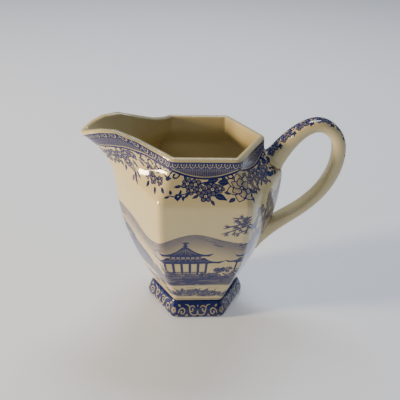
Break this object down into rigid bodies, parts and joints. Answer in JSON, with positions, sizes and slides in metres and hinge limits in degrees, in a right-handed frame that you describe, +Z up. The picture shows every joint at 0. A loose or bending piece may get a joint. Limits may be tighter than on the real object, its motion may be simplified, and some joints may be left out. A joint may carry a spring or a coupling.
{
  "type": "cream jug",
  "caption": "Small hexagonal cream jug with a swept-up pouring spout, looped strap handle, sloping shoulder and flared foot, glazed cream with a blue printed landscape.",
  "frame": {"origin": "centre of the hexagonal base, in the plane of the standing ring that rests on the table", "axes": "+Z up along the axis of the jug, +X towards the handle, the spout at -X, the shape a mirror image across the plane y = 0"},
  "size_m": [0.1375, 0.0768, 0.1116],
  "materials": {
    "glazed_earthenware": "gloss",
    "bare_earthenware": "matte"
  },
  "bodies": {
    "root": {"body_wall": "glazed_earthenware", "body_floor": "glazed_earthenware", "spout": "glazed_earthenware", "foot": "glazed_earthenware", "foot_ring": "bare_earthenware", "handle": "glazed_earthenware", "handle_upper_joint": "glazed_earthenware", "handle_lower_joint": "glazed_earthenware"}
  },
  "joints": []
}
